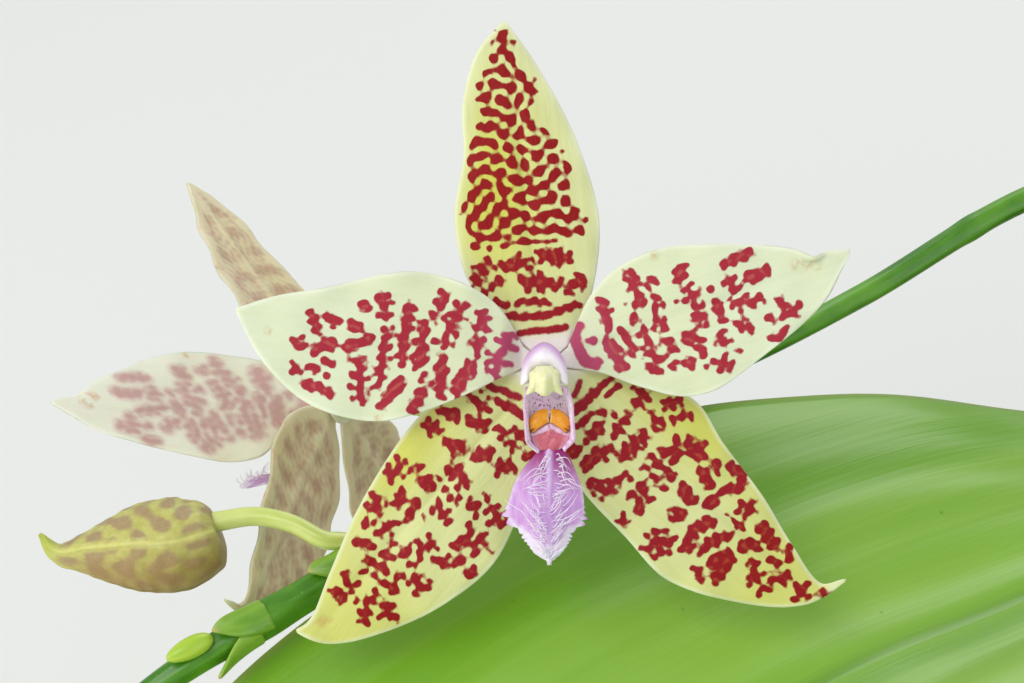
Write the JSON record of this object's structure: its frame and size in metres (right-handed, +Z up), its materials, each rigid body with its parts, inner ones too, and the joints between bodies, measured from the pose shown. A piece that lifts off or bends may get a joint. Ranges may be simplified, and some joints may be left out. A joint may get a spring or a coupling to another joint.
{
  "type": "potted orchid",
  "caption": "Potted moth orchid: broad leaves in two ranks on a short stem, aerial roots, and an arching spike of star-shaped barred flowers with buds, in a round tapered pot of bark.",
  "frame": {"origin": "middle of the pot's underside, on the surface the pot stands on", "axes": "+Z up along the pot's axis; -Y towards the side the front flower faces; +X to the right as seen from that side"},
  "size_m": [0.4229, 0.2813, 0.2144],
  "materials": {
    "pot": "satin",
    "bark": "matte",
    "stem": "satin",
    "leaf": "satin",
    "root": "matte",
    "petal": "satin",
    "sepal": "satin",
    "column": "satin",
    "anther_cap": "satin",
    "lip": "satin",
    "pedicel": "satin",
    "bud": "satin",
    "young_bud": "satin",
    "bract": "satin"
  },
  "bodies": {
    "root": {"pot": "pot", "bark_medium": "bark", "stem": "stem", "leaf_left_broad": "leaf", "leaf_right_broad": "leaf", "leaf_left_low": "leaf", "leaf_right_low": "leaf", "leaf_right_upper": "leaf", "leaf_young": "leaf", "root_over_rim_back": "root", "root_over_rim_front": "root", "root_over_rim_right": "root", "root_into_bark_left": "root", "root_into_bark_back": "root", "root_into_bark_front": "root", "root_into_bark_right": "root", "flower_spike": "stem", "flower_front_dorsal_sepal": "sepal", "flower_front_petal_left": "petal", "flower_front_petal_right": "petal", "flower_front_lateral_sepal_left": "sepal", "flower_front_lateral_sepal_right": "sepal", "flower_front_column": "column", "flower_front_anther_cap": "anther_cap", "flower_front_lip": "lip", "flower_front_pedicel": "pedicel", "flower_back_dorsal_sepal": "sepal", "flower_back_petal_left": "petal", "flower_back_petal_right": "petal", "flower_back_lateral_sepal_left": "sepal", "flower_back_lateral_sepal_right": "sepal", "flower_back_column": "column", "flower_back_anther_cap": "anther_cap", "flower_back_lip": "lip", "flower_back_pedicel": "pedicel", "bud_pedicel": "pedicel", "bud": "bud", "bract_flower_front": "bract", "bract_flower_back": "bract", "bract_bud": "bract", "bract_upper": "bract", "bract_lower": "bract", "young_bud_upper": "young_bud", "young_bud_lower": "young_bud", "young_bud_tip": "young_bud"}
  },
  "joints": []
}
